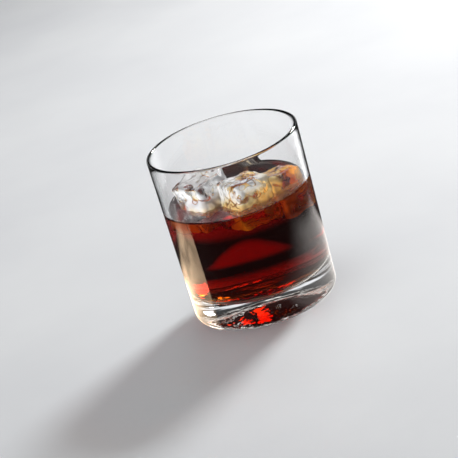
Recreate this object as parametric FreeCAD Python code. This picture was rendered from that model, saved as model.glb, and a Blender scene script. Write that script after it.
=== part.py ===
"""A heavy-based rocks tumbler of rum with three ice cubes standing out of the drink.

Millimetres, +Z up. The origin is the centre of the circle that the foot stands on.
Nodes: tumbler, rum, ice_left, ice_middle, ice_right.
"""
import FreeCAD, Part
import math
import os

# Tumbler, outside
height = 94.0             # table to the top of the lip
rim_diameter = 82.0
base_diameter = 79.0      # at the widest of the heel
lip_thickness = 2.1       # the fire-polished lip is fully round
heel_radius = 3.0
foot_inset = 9.0          # from the heel to the inner edge of the ring that touches the table
punt_slope = 11.0         # degrees; the underside is pressed up as a low cone
punt_nose = 60.0          # radius that rounds the cone's point

# Tumbler, inside
floor_thickness = 12.2    # from the table to the middle of the inner floor
floor_dish = 2.4          # how far the middle of the inner floor lies below its edge
wall_at_floor = 3.4       # wall where the inner floor meets it
corner_radius = 8.0       # inside, between floor and wall

# Rum
fill_level = 63.0         # surface of the drink above the table
meniscus_height = 1.3     # how far it creeps up the glass
meniscus_width = 1.7
meniscus_edge = 0.15      # blunt top of the meniscus
meniscus_sag = (0.34, 0.24)  # how far in and how high its hollow passes, as shares of its width and height

# Ice
ice_wall_gap = 0.8        # least space between a cube and the glass
ice_edge_radius = 3.0     # melted edges between the sides
ice_rim_radius = 2.4      # melted edges round the top and bottom faces
ice_dimple_depth = 0.9    # the top face sinks as it melts
ICE_CUBES = {
    # width, depth and height, with the swollen waist and the narrower top as shares of the width;
    # bearing round the glass, and inset from where the wall would stop the cube;
    # its own turn, its lean and the bearing it leans to; and how far its centre lies above the rum
    "ice_left": dict(width=21.5, depth=21.0, tall=22.0, waist=1.03, top=0.93,
                     bearing=185.0, inset=7.1414, turn=38.0, lean=8.0, lean_to=205.0, rise=1.4),
    "ice_middle": dict(width=21.0, depth=20.5, tall=22.5, waist=1.04, top=0.95,
                       bearing=286.0, inset=8.3695, turn=28.0, lean=4.0, lean_to=70.0, rise=-0.3),
    "ice_right": dict(width=20.0, depth=19.5, tall=21.0, waist=1.03, top=0.94,
                      bearing=353.0, inset=2.0245, turn=30.0, lean=9.0, lean_to=120.0, rise=-5.0),
}

AXIS = FreeCAD.Vector(0, 0, 1)
ORIGIN = FreeCAD.Vector(0, 0, 0)
rim_radius = rim_diameter / 2
base_radius = base_diameter / 2
lip_radius = lip_thickness / 2
floor_edge = floor_thickness + floor_dish
inner_base_radius = base_radius - wall_at_floor


def point(radius, z):
    """A point of the half section, in the XZ plane."""
    return FreeCAD.Vector(radius, 0, z)


def revolved(edges):
    """The solid swept by a closed half section about the tumbler's axis."""
    return Part.Face(Part.Wire(edges)).revolve(ORIGIN, AXIS, 360)


def line(start, end):
    return Part.LineSegment(start, end).toShape()


def arc(start, middle, end):
    return Part.Arc(start, middle, end).toShape()


def on_circle(centre, radius, angle):
    return centre + point(radius * math.cos(angle), radius * math.sin(angle))


def dish_middle(z_axis, radius, z_edge):
    """The point half way along the shallow arc from the axis out to a radius."""
    rise = z_edge - z_axis
    sphere = (radius ** 2 + rise ** 2) / (2 * rise)
    half = radius / 2
    return point(half, z_axis + sphere - math.sqrt(sphere ** 2 - half ** 2))


def lip_centre():
    return point(rim_radius - lip_radius, height - lip_radius)


def inner_wall_top():
    """Where the straight inner wall runs into the round lip."""
    foot = point(inner_base_radius, floor_edge)
    to_lip = lip_centre() - foot
    reach = math.atan2(to_lip.z, to_lip.x)
    spread = math.asin(lip_radius / to_lip.Length)
    length = math.sqrt(to_lip.Length ** 2 - lip_radius ** 2)
    return on_circle(foot, length, reach + spread)


def inner_radius(z):
    """Radius of the inner wall at a height above the table."""
    top = inner_wall_top()
    share = (z - floor_edge) / (top.z - floor_edge)
    return inner_base_radius + share * (top.x - inner_base_radius)


def floor_corner(solid, radius):
    """Rounds the edge between the inner floor and the wall."""
    edges = [e for e in solid.Edges
             if abs(e.BoundBox.ZMax - floor_edge) < 1e-3 and abs(e.BoundBox.XMax - inner_base_radius) < 1e-3
             and e.BoundBox.ZLength < 1e-3]
    return solid.makeFillet(radius, edges)


def make_tumbler():
    heel_centre = point(base_radius - heel_radius, heel_radius)
    lip = lip_centre()
    up = lip - heel_centre
    outward = math.atan2(up.z, up.x) - math.acos((heel_radius - lip_radius) / up.Length)
    foot_outer = point(base_radius - heel_radius, 0)
    foot_inner = point(base_radius - foot_inset, 0)
    wall_bottom = on_circle(heel_centre, heel_radius, outward)
    wall_top = on_circle(lip, lip_radius, outward)
    inner_top = inner_wall_top()
    inner_foot = point(inner_base_radius, floor_edge)
    slope = math.radians(punt_slope)
    nose_centre = point(0, foot_inner.x * math.tan(slope) - punt_nose / math.cos(slope))
    nose_edge = on_circle(nose_centre, punt_nose, math.pi / 2 - slope)
    under = on_circle(nose_centre, punt_nose, math.pi / 2)
    floor_middle = point(0, floor_thickness)
    edges = [
        arc(under, on_circle(nose_centre, punt_nose, (math.pi - slope) / 2), nose_edge),
        line(nose_edge, foot_inner),
        line(foot_inner, foot_outer),
        arc(foot_outer, on_circle(heel_centre, heel_radius, (outward - math.pi / 2) / 2), wall_bottom),
        line(wall_bottom, wall_top),
        arc(wall_top, on_circle(lip, lip_radius, math.pi / 2), inner_top),
        line(inner_top, inner_foot),
        arc(inner_foot, dish_middle(floor_thickness, inner_base_radius, floor_edge), floor_middle),
        line(floor_middle, under),
    ]
    return floor_corner(revolved(edges), corner_radius)


def make_drink():
    """The rum up to its level, with the meniscus round the glass, before the ice is let in."""
    wall_top_z = fill_level + meniscus_height
    inner_foot = point(inner_base_radius, floor_edge)
    floor_middle = point(0, floor_thickness)
    creep_outer = point(inner_radius(wall_top_z), wall_top_z)
    creep_inner = point(creep_outer.x - meniscus_edge, wall_top_z)
    level_edge = point(inner_radius(fill_level) - meniscus_width, fill_level)
    sag_in, sag_up = meniscus_sag
    hollow = point(
        creep_inner.x + (level_edge.x - creep_inner.x) * sag_in, fill_level + meniscus_height * sag_up)
    edges = [
        arc(floor_middle, dish_middle(floor_thickness, inner_base_radius, floor_edge), inner_foot),
        line(inner_foot, creep_outer),
        line(creep_outer, creep_inner),
        arc(creep_inner, hollow, level_edge),
        line(level_edge, point(0, fill_level)),
        line(point(0, fill_level), floor_middle),
    ]
    return floor_corner(revolved(edges), corner_radius)


def rounded_rectangle(width, depth, radius, z):
    """A wire of four straight sides and four round corners."""
    corners = []
    for quarter, (side_x, side_y) in enumerate(((1, 1), (-1, 1), (-1, -1), (1, -1))):
        centre = FreeCAD.Vector(side_x * (width / 2 - radius), side_y * (depth / 2 - radius), z)
        angles = [math.radians(90 * quarter + 45 * step) for step in range(3)]
        spokes = [FreeCAD.Vector(math.cos(angle), math.sin(angle), 0) * radius for angle in angles]
        corners.append([centre + spoke for spoke in spokes])
    edges = []
    for corner, following in zip(corners, corners[1:] + corners[:1]):
        edges.append(arc(*corner))
        edges.append(line(corner[-1], following[0]))
    return Part.Wire(edges)


def make_cube(width, depth, tall, waist, top, **place):
    """A melting cube about its own centre: sides that swell at the waist, a narrower top and soft edges."""
    sections = [(1.0, -tall / 2), (waist, 0.0), (top, tall / 2)]
    wires = [rounded_rectangle(width * s, depth * s, ice_edge_radius * s, z) for s, z in sections]
    block = Part.makeLoft(wires, True, False)
    rims = [e for e in block.Edges if e.BoundBox.ZLength < 1e-3]
    block = block.makeFillet(ice_rim_radius, rims)
    half = min(width, depth) * top / 2 - ice_rim_radius
    ball = (half ** 2 + ice_dimple_depth ** 2) / (2 * ice_dimple_depth)
    dimple = Part.makeSphere(ball, FreeCAD.Vector(0, 0, tall / 2 - ice_dimple_depth + ball))
    return block.cut(dimple)


def place_cube(cube, width, depth, tall, bearing, inset, turn, lean, lean_to, rise, **shape):
    """Sets a cube afloat, inwards of where its lowest corners would meet the glass."""
    half = max(width, depth) / 2
    clear = inner_radius(fill_level + rise - tall / 2) - ice_wall_gap
    out = math.sqrt(clear ** 2 - half ** 2) - half - inset
    bearing_rad = math.radians(bearing)
    lean_axis = FreeCAD.Vector(
        -math.sin(math.radians(lean_to)), math.cos(math.radians(lean_to)), 0)
    turned = FreeCAD.Rotation(lean_axis, lean).multiply(FreeCAD.Rotation(AXIS, turn))
    centre = FreeCAD.Vector(out * math.cos(bearing_rad), out * math.sin(bearing_rad), fill_level + rise)
    placed = cube.copy()
    placed.Placement = FreeCAD.Placement(centre, turned)
    return placed


def main():
    os.makedirs("parts", exist_ok=True)
    cubes = {name: place_cube(make_cube(**sizes), **sizes) for name, sizes in ICE_CUBES.items()}
    rum = make_drink()
    for cube in cubes.values():
        rum = rum.cut(cube)
    nodes = {"tumbler": make_tumbler(), "rum": rum, **cubes}
    for name, shape in nodes.items():
        solid = shape.Solids[0] if len(shape.Solids) == 1 else shape
        if not solid.isValid():
            print("invalid shape:", name)
        solid.exportStep(f"parts/{name}.step")
        box = solid.BoundBox
        print(f"{name}: {len(shape.Solids)} solid, {solid.Volume / 1000:.2f} cm3, "
              f"z {box.ZMin:.1f} to {box.ZMax:.1f}")


main()
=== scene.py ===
"""A rocks tumbler of rum on ice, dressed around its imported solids. Metres, +Z up, the foot on z = 0."""
import bpy
import math
from mathutils import Matrix, Vector


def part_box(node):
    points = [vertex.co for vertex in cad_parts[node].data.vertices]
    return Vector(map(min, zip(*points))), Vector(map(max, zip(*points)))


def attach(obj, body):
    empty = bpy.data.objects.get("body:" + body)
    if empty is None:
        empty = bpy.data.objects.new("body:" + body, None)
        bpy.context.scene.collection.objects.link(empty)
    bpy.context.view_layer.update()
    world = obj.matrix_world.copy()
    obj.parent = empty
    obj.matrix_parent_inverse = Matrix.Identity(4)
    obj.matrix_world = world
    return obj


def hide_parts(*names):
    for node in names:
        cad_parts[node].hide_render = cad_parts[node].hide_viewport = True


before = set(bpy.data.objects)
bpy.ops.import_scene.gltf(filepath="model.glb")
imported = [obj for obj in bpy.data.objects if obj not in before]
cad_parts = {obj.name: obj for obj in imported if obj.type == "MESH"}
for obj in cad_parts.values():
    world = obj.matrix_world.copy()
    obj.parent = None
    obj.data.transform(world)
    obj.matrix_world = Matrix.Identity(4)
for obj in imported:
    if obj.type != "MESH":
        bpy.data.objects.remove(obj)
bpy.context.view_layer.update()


# ---- The tumbler -------------------------------------------------------------------------------
# A rocks tumbler pressed and spun in clear soda-lime glass. It has a thick foot with a shallow punt,
# walls that thin towards the top, and a lip melted round in the flame.

mm = 0.001
glass_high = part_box("tumbler")[1]
rum_low, rum_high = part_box("rum")
rim_radius = glass_high.x
height = glass_high.z
lip_radius = 1.05 * mm
heel_radius = 3.0 * mm
heel_side = 39.5 * mm            # radius of the foot at the heel's widest
foot_inner = 30.5 * mm           # inner edge of the ring that stands on the table
cone_slope = math.radians(11)    # the underside is pressed up as a low cone
cone_nose = 60 * mm              # radius that rounds its point
punt_top = 8 * mm                # the pressed underside lies wholly below this height
floor_middle = rum_low.z         # top of the glass floor on the axis
floor_dish = 2.4 * mm
inner_foot = 36.1 * mm           # where the inner wall, drawn on down, meets the floor
corner = 8.0 * mm
pole = 0.4 * mm                  # radius of the small disc on the axis that a turned piece starts from
around = 192                     # points in each ring of a turned piece


def bore(z):
    """Radius of the inner wall at a height."""
    share = (z - floor_middle - floor_dish) / (height - lip_radius - floor_middle - floor_dish)
    return inner_foot + share * (rim_radius - 2 * lip_radius - inner_foot)


def dish(radius):
    """Height of the glass floor at a distance from the axis."""
    return floor_middle + floor_dish * (radius / inner_foot) ** 2


def along(start, end, steps):
    """Points of a half section from start up to, and without, end."""
    return [tuple(a + (b - a) * i / steps for a, b in zip(start, end)) for i in range(steps)]


def bow(centre, radius, first, last, steps):
    """Points of a half section along an arc, angles in degrees from straight out."""
    angles = [math.radians(first + (last - first) * i / steps) for i in range(steps + 1)]
    return [(centre[0] + radius * math.cos(a), centre[1] + radius * math.sin(a)) for a in angles]


def hollow(top, swell):
    """The half section of the inside from the axis out and up to a height, grown outwards by swell."""
    corner_z = dish(inner_foot - corner) + corner
    corner_r = bore(corner_z) - corner
    wall_start = corner_z + mm
    floor = [(r, dish(r) - swell) for r in (pole, *(ring * 4 * mm for ring in range(1, 7)))]
    bend = bow((corner_r, corner_z), corner + swell, first=-86, last=2, steps=14)
    wall = along((bore(wall_start) + swell, wall_start), (bore(top) + swell, top), steps=26)
    return floor + bend + wall + [(bore(top) + swell, top)]


def turned(name, section):
    """Draws a small disc out ring by ring along a half section, as on a lathe, and closes it on the axis."""
    bpy.ops.object.select_all(action="DESELECT")
    radius, z = section[0]
    bpy.ops.mesh.primitive_circle_add(vertices=around, radius=radius, fill_type="TRIFAN", location=(0, 0, z))
    piece = bpy.context.object
    piece.name = name
    bpy.ops.object.transform_apply(location=True, rotation=True, scale=True)
    bpy.ops.object.mode_set(mode="EDIT")
    bpy.ops.mesh.select_mode(type="EDGE")
    bpy.ops.mesh.select_all(action="SELECT")
    bpy.ops.mesh.region_to_loop()
    for next_radius, next_z in section[1:]:
        bpy.ops.mesh.extrude_region_move(TRANSFORM_OT_translate={"value": (0, 0, next_z - z)})
        bpy.ops.transform.resize(value=(next_radius / radius, next_radius / radius, 1))
        radius, z = next_radius, next_z
    bpy.ops.mesh.extrude_region_move()
    bpy.ops.mesh.merge(type="CENTER")
    bpy.ops.mesh.select_all(action="SELECT")
    bpy.ops.mesh.normals_make_consistent(inside=False)
    bpy.ops.object.mode_set(mode="OBJECT")
    bpy.ops.object.shade_smooth()
    return piece


class Wire:
    """A socket of a material. Sums on it add Math nodes, and node() adds any other node."""

    def __init__(self, tree, socket=None):
        self.tree = tree
        self.socket = socket

    def node(self, kind, settings=None, inputs=None, out=0):
        made = self.tree.nodes.new(kind)
        for name, value in (settings or {}).items():
            if name == "stops":
                for step, (place, colour) in enumerate(value):
                    stop = made.color_ramp.elements[step] if step < 2 else made.color_ramp.elements.new(place)
                    stop.position = place
                    stop.color = colour
            else:
                setattr(made, name, value)
        for name, value in (inputs or {}).items():
            if isinstance(value, Wire):
                self.tree.links.new(value.socket, made.inputs[name])
            else:
                made.inputs[name].default_value = value
        return Wire(self.tree, made.outputs[out] if made.outputs else None)

    def side(self, out):
        """Another output of the same node."""
        return Wire(self.tree, self.socket.node.outputs[out])

    def axes(self):
        """The three parts of a place or a direction: to the right, away from the viewer, and up."""
        parts = self.node("ShaderNodeSeparateXYZ", {}, {0: self})
        return parts, parts.side(1), parts.side(2)

    def ramp(self, low, high, at_low=0.0, at_high=1.0):
        """Runs smoothly from at_low to at_high while this value goes from low to high."""
        return self.node("ShaderNodeMapRange", {"interpolation_type": "SMOOTHSTEP"}, {
            "Value": self, "From Min": low, "From Max": high, "To Min": at_low, "To Max": at_high})

    def sum(self, operation, first, second=0.0):
        return self.node("ShaderNodeMath", {"operation": operation}, {0: first, 1: second})

    def __add__(self, other):
        return self.sum("ADD", self, other)

    def __radd__(self, other):
        return self.sum("ADD", other, self)

    def __sub__(self, other):
        return self.sum("SUBTRACT", self, other)

    def __rsub__(self, other):
        return self.sum("SUBTRACT", other, self)

    def __mul__(self, other):
        return self.sum("MULTIPLY", self, other)

    def __rmul__(self, other):
        return self.sum("MULTIPLY", other, self)


def blank(holder):
    """Clears the nodes of a material or a world, and gives the wire that its new nodes start from."""
    holder.use_nodes = True
    holder.node_tree.nodes.clear()
    return Wire(holder.node_tree)


def finish_clear(wire, surface, shadow_tint, volume=None):
    """Ends a clear material: the eye sees it refract, while lamps and scattered light pass it tinted."""
    lamps = wire.node("ShaderNodeLightPath", out="Is Shadow Ray")
    between = wire.node("ShaderNodeLightPath", out="Is Diffuse Ray")
    passed = wire.node("ShaderNodeBsdfTransparent", {}, {"Color": (*shadow_tint, 1)})
    ends = {"Surface": wire.node("ShaderNodeMixShader", {}, {
        0: wire.sum("MAXIMUM", lamps, between), 1: surface, 2: passed})}
    if volume:
        ends["Volume"] = volume
    wire.node("ShaderNodeOutputMaterial", {}, ends)


wall_foot = (heel_side + 0.02 * mm, heel_radius + mm)
wall_top = (rim_radius, height - lip_radius)
nose_height = foot_inner * math.tan(cone_slope) - cone_nose / math.cos(cone_slope)
nose = bow((0, nose_height), cone_nose, first=89.6, last=90 - math.degrees(cone_slope), steps=8)
tumbler_section = (
    nose + along(nose[-1], (foot_inner, 0), steps=6)[1:]
    + along((foot_inner, 0), (heel_side - heel_radius, 0), steps=3)
    + bow((heel_side - heel_radius, heel_radius), heel_radius, first=-90, last=0, steps=12)
    + along(wall_foot, wall_top, steps=30)
    + bow((rim_radius - lip_radius, height - lip_radius), lip_radius, first=0, last=180, steps=16)
    + hollow(height - lip_radius - mm, swell=0)[::-1])
tumbler = turned("tumbler_glass", tumbler_section)

glass_ior = 1.5
tumbler_material = bpy.data.materials.new("clear pressed glass")
wire = blank(tumbler_material)
place = wire.node("ShaderNodeTexCoord", out="Object")
across, deep, up = place.axes()
off_axis = wire.sum("SQRT", across * across + deep * deep)
waves = wire.node("ShaderNodeTexNoise", {}, {"Vector": place, "Scale": 45.0, "Detail": 1.0})
bump = wire.node("ShaderNodeBump", {}, {"Height": waves, "Strength": 0.05, "Distance": 0.002})
underside = wire.sum("LESS_THAN", up, punt_top) * wire.sum("LESS_THAN", off_axis, foot_inner)
chill = wire.node("ShaderNodeTexNoise", {}, {"Vector": place, "Scale": 150.0, "Detail": 2.0})
bump = wire.node("ShaderNodeBump", {}, {
    "Height": chill * underside, "Strength": 0.14, "Distance": 0.002, "Normal": bump})
smears = wire.node("ShaderNodeTexNoise", {}, {"Vector": place, "Scale": 120.0, "Detail": 3.0})
dry = wire.node("ShaderNodeBsdfPrincipled", {}, {
    "Base Color": (1, 1, 1, 1), "Transmission Weight": 1.0, "IOR": glass_ior,
    "Roughness": smears * 0.01, "Normal": bump})
# Where the rum touches it there is no air for the glass to mirror, so its mirror tint is black.
wetted = wire.node("ShaderNodeBsdfPrincipled", {}, {
    "Base Color": (1, 1, 1, 1), "Transmission Weight": 1.0, "IOR": glass_ior,
    "Specular Tint": (0, 0, 0, 1), "Roughness": smears * 0.01, "Normal": bump})
inside = wire.sum("LESS_THAN", off_axis, bore(rum_high.z) + 0.3 * mm)
below_the_brim = wire.sum("LESS_THAN", up, rum_high.z)
above_the_foot = wire.sum("GREATER_THAN", up, floor_middle - 0.5 * mm)
surface = wire.node("ShaderNodeMixShader", {}, {
    0: inside * below_the_brim * above_the_foot, 1: dry, 2: wetted})
finish_clear(wire, surface, shadow_tint=(0.97, 0.98, 0.98))
tumbler.data.materials.append(tumbler_material)
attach(tumbler, "root")
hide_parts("tumbler")


# ---- The ice -----------------------------------------------------------------------------------
# Tray cubes of clear ice, a few minutes in the glass: edges melted round, faces wavy and dished, and
# a skin that is milky in patches. Near the rum the skin is amber: partly the rum wetting it, partly a
# painted glow that stands in for light through the rum, climbing higher to the right. All three float
# and stand out of the drink.

meniscus_height = 1.3 * mm       # how far the rum creeps up the glass
level = rum_high.z - meniscus_height
ice_ior = 1.31
waist = 1.03                     # a cube's girth at half its height, as a share of its size
top_taper = 0.1                  # how much of that is melted away at its top
bottom_taper = 0.04              # and at its bottom
grid = 6                         # cuts across each side of a cube before it is rounded
rounding_levels = 3
dish_steps = ((0.62, 0.5 * mm), (0.36, 0.6 * mm))    # share of the top face, and how far it has sunk
rum_film_and_glow_stops = [                  # from amber in the rum to white well above it: rum film and painted glow
    (0.0, (1.0, 0.50, 0.10, 1)), (0.4, (1.0, 0.74, 0.32, 1)),
    (0.75, (1.0, 0.95, 0.84, 1)), (1.0, (1, 1, 1, 1))]
rum_film_and_glow_start = 0.2                # place on these stops at the rum's level
rum_film_and_glow_fade = 0.08                # and how much further each millimetre above it is
rum_film_and_glow_unevenness = 9             # millimetres by which the melted face shifts the amber up and down
painted_glow_drift = 0.26               # millimetres by which the painted amber glow climbs for each one to the right
cubes = {                        # size, turn, lean, the bearing it leans to, and lift over the solid's middle
    "ice_left": ((22.5 * mm, 22.0 * mm, 24.0 * mm), 38, 8, 205, 2.5 * mm),
    "ice_middle": ((21.5 * mm, 21.0 * mm, 24.0 * mm), 28, 4, 70, 2.0 * mm),
    "ice_right": ((20.5 * mm, 20.0 * mm, 22.0 * mm), 30, 9, 120, 1.0 * mm),
}

ice_material = bpy.data.materials.new("clear melting ice")
wire = blank(ice_material)
place = wire.node("ShaderNodeTexCoord", out="Object")
across, deep, up = place.axes()
melt = wire.node("ShaderNodeTexNoise", {}, {"Vector": place, "Scale": 160.0, "Detail": 1.0})
bump = wire.node("ShaderNodeBump", {}, {"Height": melt, "Strength": 0.25, "Distance": 0.0012})
# Painted glow: the amber runs up the ice from the rum's level. It is partly the rum wetting the ice and
# partly a stand-in for light through the rum, and it climbs to the right.
above_rum = (up - level) * (1 / mm) + (melt - 0.5) * rum_film_and_glow_unevenness - across * (painted_glow_drift / mm)
fade = above_rum * rum_film_and_glow_fade + rum_film_and_glow_start
rum_film_and_glow = wire.node("ShaderNodeValToRGB", {"stops": rum_film_and_glow_stops}, {"Fac": fade})
clear = wire.node("ShaderNodeBsdfPrincipled", {}, {
    "Base Color": rum_film_and_glow, "Transmission Weight": 1.0, "IOR": ice_ior,
    "Roughness": melt * 0.02, "Normal": bump})

patches = wire.node("ShaderNodeTexNoise", {}, {
    "Vector": place, "Scale": 85.0, "Detail": 3.0, "Distortion": 0.6})
near_rum = up.ramp(level + 7 * mm, level + 1 * mm, at_high=0.07)
frost = (patches + near_rum).ramp(0.43, 0.52, at_high=0.92)
edge_on = wire.node("ShaderNodeLayerWeight", {}, {"Blend": 0.5}, out="Facing")
frost = frost * edge_on.ramp(0.62, 0.9, at_low=1.0, at_high=0.05)
seams = wire.node("ShaderNodeTexNoise", {}, {
    "Vector": place, "Scale": 60.0, "Detail": 1.5, "Distortion": 1.2})
frost = frost * wire.sum("ABSOLUTE", seams - 0.5).ramp(0.004, 0.022, at_low=0.1)

# The milky skin takes the same amber, rum film and painted glow, from one colour of light let through to the
# next.
lit_through = wire.node("ShaderNodeBsdfTranslucent", {}, {"Color": rum_film_and_glow_stops[0][1], "Normal": bump})
for (start, _), (end, colour) in zip(rum_film_and_glow_stops, rum_film_and_glow_stops[1:]):
    passed_on = wire.node("ShaderNodeMapRange", {}, {"Value": fade, "From Min": start, "From Max": end})
    glow = wire.node("ShaderNodeBsdfTranslucent", {}, {"Color": colour, "Normal": bump})
    lit_through = wire.node("ShaderNodeMixShader", {}, {0: passed_on, 1: lit_through, 2: glow})
lit_on = wire.node("ShaderNodeBsdfPrincipled", {}, {
    "Base Color": rum_film_and_glow, "Roughness": 0.06, "IOR": ice_ior, "Normal": bump})
facing_up = wire.node("ShaderNodeTexCoord", out="Normal").axes()[2]
milk = wire.node("ShaderNodeMixShader", {}, {
    0: facing_up.ramp(0.15, 0.8, at_low=0.12, at_high=0.85), 1: lit_through, 2: lit_on})
surface = wire.node("ShaderNodeMixShader", {}, {0: frost, 1: clear, 2: milk})
finish_clear(wire, surface, shadow_tint=(0.93, 0.94, 0.95))

broad_melt = bpy.data.textures.new("broad melt", "CLOUDS")
broad_melt.noise_scale = 9 * mm
fine_melt = bpy.data.textures.new("fine melt", "CLOUDS")
fine_melt.noise_scale = 4 * mm


def select_where(piece, test):
    """Selects the vertices that pass a test, with the piece in edit mode."""
    bpy.ops.object.mode_set(mode="OBJECT")
    for vertex in piece.data.vertices:
        vertex.select = test(vertex.co)
    bpy.ops.object.mode_set(mode="EDIT")


def ice_cube(name, centre, size, turn, lean, lean_to):
    """A melted cube: gridded, drawn in at top and bottom, dished, set in place, rounded and dented."""
    width, depth, tall = size
    bpy.ops.object.select_all(action="DESELECT")
    bpy.ops.mesh.primitive_cube_add(size=1)
    cube = bpy.context.object
    cube.name = name
    cube.dimensions = (width, depth, tall)
    bpy.ops.object.transform_apply(location=True, rotation=True, scale=True)
    bpy.ops.object.mode_set(mode="EDIT")
    bpy.ops.mesh.select_mode(type="VERT")
    bpy.ops.mesh.subdivide(number_cuts=grid)
    for step in range(grid + 2):
        z = -tall / 2 + tall * step / (grid + 1)
        to_end = z / (tall / 2)
        girth = waist - top_taper * max(0, to_end) ** 2 - bottom_taper * max(0, -to_end) ** 2
        select_where(cube, lambda co: abs(co.z - z) < tall / 100)
        bpy.ops.transform.resize(value=(girth, girth, 1), center_override=(0, 0, z))
    for share, sink in dish_steps:
        select_where(cube, lambda co: (
            co.z > tall * 0.3 and max(abs(co.x) / width, abs(co.y) / depth) < share / 2))
        bpy.ops.transform.translate(value=(0, 0, -sink))
    bpy.ops.object.mode_set(mode="OBJECT")
    lean_axis = Vector((-math.sin(math.radians(lean_to)), math.cos(math.radians(lean_to)), 0))
    cube.matrix_world = (Matrix.Translation(centre) @ Matrix.Rotation(math.radians(lean), 4, lean_axis)
                         @ Matrix.Rotation(math.radians(turn), 4, "Z"))
    bpy.ops.object.transform_apply(location=True, rotation=True, scale=True)
    rounding = cube.modifiers.new("melted round", "SUBSURF")
    rounding.levels = rounding_levels
    rounding.render_levels = rounding_levels
    for texture, strength in ((broad_melt, 2.6 * mm), (fine_melt, 0.35 * mm)):
        dents = cube.modifiers.new("melted dents", "DISPLACE")
        dents.texture = texture
        dents.texture_coords = "GLOBAL"
        dents.strength = strength
        dents.mid_level = 0.55
    for modifier in list(cube.modifiers):
        bpy.ops.object.modifier_apply(modifier=modifier.name)
    bpy.ops.object.shade_smooth()
    cube.data.materials.append(ice_material)
    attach(cube, "root")
    return cube


def middle(node):
    """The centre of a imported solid's box."""
    low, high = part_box(node)
    return (low + high) / 2


ice = []
for node, (size, turn, lean, lean_to, lift) in cubes.items():
    centre = middle(node) + Vector((0, 0, lift))
    cube = ice_cube("melted_" + node, centre, size, turn, lean, lean_to)
    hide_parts(node)
    ice.append(cube)


# ---- The rum -----------------------------------------------------------------------------------
# Dark rum, a clear red-brown spirit that is nearly black through its full depth and amber where it is
# thin. It wets the glass with no air between, creeps up it in a meniscus, and closes round the ice.

wet = 0.12 * mm                  # how far the rum's skin reaches into the glass and the ice
meniscus_width = 1.7 * mm
meniscus_lip = 0.1 * mm          # blunt top of the meniscus
meniscus_curl = 2.4              # how steeply it rises to the glass
rum_ior = 1.36
sliver = 5e-6                    # points closer than this are left by the cuts, and are one
meniscus_edge = bore(rum_high.z) - meniscus_lip
meniscus = [
    (meniscus_edge - share * meniscus_width, level + meniscus_height * (1 - share) ** meniscus_curl)
    for share in (0.03, 0.1, 0.2, 0.3, 0.42, 0.55, 0.7, 0.85, 1.0)]
open_rings = (34 * mm, *(ring * 6 * mm for ring in range(5, 0, -1)), pole)
rum = turned("dark_rum", hollow(rum_high.z, wet) + meniscus + [(r, level) for r in open_rings])
for cube in ice:
    bite = cube.copy()
    bite.data = cube.data.copy()
    bpy.context.scene.collection.objects.link(bite)
    shrink = bite.modifiers.new("inside the ice", "DISPLACE")
    shrink.strength = -wet
    shrink.mid_level = 0
    cut = rum.modifiers.new("let the ice in", "BOOLEAN")
    cut.operation = "DIFFERENCE"
    cut.solver = "EXACT"
    cut.object = bite
    bpy.ops.object.select_all(action="DESELECT")
    bpy.context.view_layer.objects.active = rum
    rum.select_set(True)
    bpy.ops.object.modifier_apply(modifier=cut.name)
    bpy.data.objects.remove(bite)
bpy.ops.object.mode_set(mode="EDIT")
bpy.ops.mesh.select_all(action="SELECT")
bpy.ops.mesh.quads_convert_to_tris(quad_method="BEAUTY", ngon_method="BEAUTY")
bpy.ops.mesh.remove_doubles(threshold=sliver)
bpy.ops.mesh.dissolve_degenerate(threshold=sliver)
bpy.ops.object.mode_set(mode="OBJECT")

rum_material = bpy.data.materials.new("dark rum")
wire = blank(rum_material)
place = wire.node("ShaderNodeTexCoord", out="Object")
ripples = wire.node("ShaderNodeTexNoise", {}, {"Vector": place, "Scale": 90.0, "Detail": 0.0})
bump = wire.node("ShaderNodeBump", {}, {"Height": ripples, "Strength": 0.04, "Distance": 0.001})
open_top = wire.node("ShaderNodeBsdfPrincipled", {}, {
    "Base Color": (1, 1, 1, 1), "Transmission Weight": 1.0, "IOR": rum_ior, "Roughness": 0.0, "Normal": bump})
touching = wire.node("ShaderNodeBsdfPrincipled", {}, {
    "Base Color": (1, 1, 1, 1), "Transmission Weight": 1.0, "IOR": rum_ior, "Roughness": 0.0,
    "Specular Tint": (0, 0, 0, 1)})
in_the_open = wire.sum("GREATER_THAN", place.axes()[2], level - 0.03 * mm)
surface = wire.node("ShaderNodeMixShader", {}, {0: in_the_open, 1: touching, 2: open_top})
absorb = wire.node("ShaderNodeVolumeAbsorption", {}, {"Color": (0.918, 0.636, 0.0, 1), "Density": 330.0})
finish_clear(wire, surface, shadow_tint=(0.45, 0.4, 0.38), volume=absorb)
rum.data.materials.clear()
rum.data.materials.append(rum_material)
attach(rum, "root")
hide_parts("rum")


# ---- Table, light and camera -------------------------------------------------------------------
# A plain pale table top under a wide lamp overhead, a low softbox behind at the right for the long
# shadow, and three window strips. The table glows warm at left, pale at right and faintly elsewhere in
# mirrored rays only: painted reflections for the glass. Behind, seen only through the glass, it has a
# dark patch, painted shade, with a glowing oval in it, a painted glow that shows red through the drink.

table_size = 8
painted_patch_edges = {               # millimetres where each edge of a painted patch starts and where it is full
    "left": dict(left=(-200, -150), right=(-20, -30), front=(-29, -24), back=(80, 40)),
    "right": dict(left=(20, 30), right=(160, 120), front=(-90, -10), back=(90, 60)),
    "behind": dict(left=(-80, -60), right=(80, 60), front=(40, 50), back=(135, 115)),
}
# A glowing oval in the dark patch behind the glass: a painted glow, seen only through the drink.
glow_oval_middle = (1.6 * mm, 92 * mm)
glow_oval_narrowness = (190.0, 48.0)   # one over the oval's half width and half depth in metres
# Painted reflections: strengths of the glows on the table that only mirrored rays see.
warm_glare = 5.0
pale_glare = 1.75
bare_glare = 0.05                # painted glow that the rest of the table sends into a mirrored ray

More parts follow.
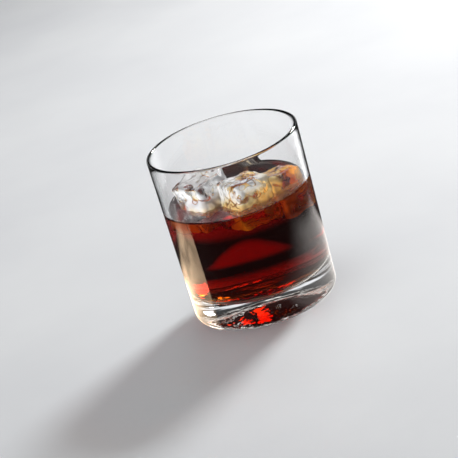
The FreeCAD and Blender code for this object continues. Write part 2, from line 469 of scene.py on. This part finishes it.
bpy.ops.object.select_all(action="DESELECT")
bpy.ops.mesh.primitive_plane_add(size=table_size)
table = bpy.context.object
table.name = "table"
table_material = bpy.data.materials.new("pale table top with painted glows")
wire = blank(table_material)
place = wire.node("ShaderNodeTexCoord", out="Object")
across, deep, _ = place.axes()


def painted_patch(left, right, front, back):
    """Where a soft-edged patch lies on the table, for the painted reflections and the painted shade behind.
    """
    edges = ((across, left), (across, right), (deep, front), (deep, back))
    sides = [way.ramp(start * mm, full * mm) for way, (start, full) in edges]
    return sides[0] * sides[1] * sides[2] * sides[3]


grain = wire.node("ShaderNodeTexNoise", {}, {"Vector": place, "Scale": 6.0, "Detail": 4.0})
tone = wire.node("ShaderNodeValToRGB", {
    "stops": [(0.3, (0.74, 0.75, 0.77, 1)), (0.7, (0.82, 0.83, 0.84, 1))]}, {"Fac": grain})
surface = wire.node("ShaderNodeBsdfPrincipled", {}, {"Base Color": tone, "Roughness": 0.5})

# Painted shade with a painted glow: a dark patch behind the glass, seen only through it, with a glowing oval
# in it that shows red through the drink.
off_across = (across - glow_oval_middle[0]) * glow_oval_narrowness[0]
off_deep = (deep - glow_oval_middle[1]) * glow_oval_narrowness[1]
glow_oval = (off_across * off_across + off_deep * off_deep).ramp(1.6, 0.2)
black = wire.node("ShaderNodeBsdfDiffuse", {}, {"Color": (0.03, 0.02, 0.02, 1)})
white = wire.node("ShaderNodeEmission", {}, {"Color": (1, 1, 1, 1), "Strength": 1.0})
painted_shade_and_glow = wire.node("ShaderNodeMixShader", {}, {0: glow_oval, 1: black, 2: white})
seen_through = wire.node("ShaderNodeLightPath", out="Is Transmission Ray")
surface = wire.node("ShaderNodeMixShader", {}, {
    0: painted_patch(**painted_patch_edges["behind"]) * seen_through, 1: surface, 2: painted_shade_and_glow})

# Painted reflections: a warm streaky glow at left, a pale glow at right and a faint glow elsewhere, seen only
# in mirrored rays.
streaks = wire.node("ShaderNodeTexNoise", {}, {"Vector": place, "Scale": 22.0, "Detail": 1.0})
streaked = 0.4 + 0.6 * streaks.ramp(0.3, 0.62)
warm = wire.node("ShaderNodeEmission", {}, {"Color": (1, 0.72, 0.46, 1), "Strength": warm_glare})
unlit = wire.node("ShaderNodeEmission", {}, {"Color": (0, 0, 0, 1), "Strength": 0.0})
left_painted_reflection = wire.node("ShaderNodeMixShader", {}, {
    0: painted_patch(**painted_patch_edges["left"]) * streaked, 1: unlit, 2: warm})
pale = wire.node("ShaderNodeEmission", {}, {"Color": (1, 0.96, 0.92, 1), "Strength": pale_glare})
bare = wire.node("ShaderNodeEmission", {}, {"Color": (1, 0.96, 0.92, 1), "Strength": bare_glare})
right_painted_reflection = wire.node("ShaderNodeMixShader", {}, {0: painted_patch(**painted_patch_edges["right"]), 1: bare, 2: pale})
glare = wire.node("ShaderNodeAddShader", {}, {0: left_painted_reflection, 1: right_painted_reflection})
mirrored = wire.node("ShaderNodeLightPath", out="Is Reflection Ray") * (
    1 - wire.node("ShaderNodeLightPath", out="Is Diffuse Ray"))
surface = wire.node("ShaderNodeMixShader", {}, {0: mirrored, 1: surface, 2: glare})
wire.node("ShaderNodeOutputMaterial", {}, {"Surface": surface})
table.data.materials.append(table_material)

lit_point = Vector((0, 0, 40 * mm))


def lamp(name, place, size, power, spread=180):
    """An oval lamp turned to the middle of the glass, its power in watts and its beam's angle in degrees."""
    data = bpy.data.lights.new(name, "AREA")
    data.shape = "ELLIPSE"
    data.size, data.size_y = size
    data.energy = power
    data.spread = math.radians(spread)
    light = bpy.data.objects.new(name, data)
    light.location = place
    light.rotation_euler = (lit_point - Vector(place)).to_track_quat("-Z", "Y").to_euler()
    bpy.context.scene.collection.objects.link(light)


lamp("back softbox", (0.86, 1.02, 0.68), (0.4, 0.28), power=8.5, spread=110)
lamp("overhead", (-0.2, 0.0, 1.4), (1.3, 1.3), power=7.5)
for strip in (0.05, 0.2, 0.35):
    lamp("window", (strip, 1.0, 0.95), (0.1, 0.45), power=0.5)

# The room is pale where it is looked at and low down all round, and dark overhead.
pale_sky = 0.9
dark_sky = 0.05
world = bpy.data.worlds.new("studio")
wire = blank(world)
looked_at = wire.node("ShaderNodeLightPath", out="Is Camera Ray")
steep = wire.node("ShaderNodeTexCoord", out="Generated").axes()[2]
brightness = wire.sum("MAXIMUM", pale_sky * looked_at, steep.ramp(0.26, 0.12, dark_sky, pale_sky))
sky = wire.node("ShaderNodeBackground", {}, {"Color": (0.95, 0.97, 1.0, 1), "Strength": brightness})
wire.node("ShaderNodeOutputWorld", {}, {"Surface": sky})
bpy.context.scene.world = world

aim = Vector((-9.2 * mm, 0, 44.1 * mm))
stand_off = 985 * mm
elevation = math.radians(21.34)
bearing = math.radians(0.58)
roll = math.radians(-16.4)
eye = aim + stand_off * Vector((
    math.sin(bearing) * math.cos(elevation), -math.cos(bearing) * math.cos(elevation), math.sin(elevation)))
camera = bpy.data.objects.new("camera", bpy.data.cameras.new("camera"))
camera.data.lens = 144.5
camera.data.clip_start = 0.01
camera.matrix_world = (Matrix.Translation(eye) @ (aim - eye).to_track_quat("-Z", "Y").to_matrix().to_4x4()
                       @ Matrix.Rotation(roll, 4, "Z"))
bpy.context.scene.collection.objects.link(camera)
bpy.context.scene.camera = camera
bpy.context.scene.view_settings.view_transform = "Standard"
bpy.context.scene.cycles.max_bounces = 28
bpy.context.scene.cycles.transmission_bounces = 28
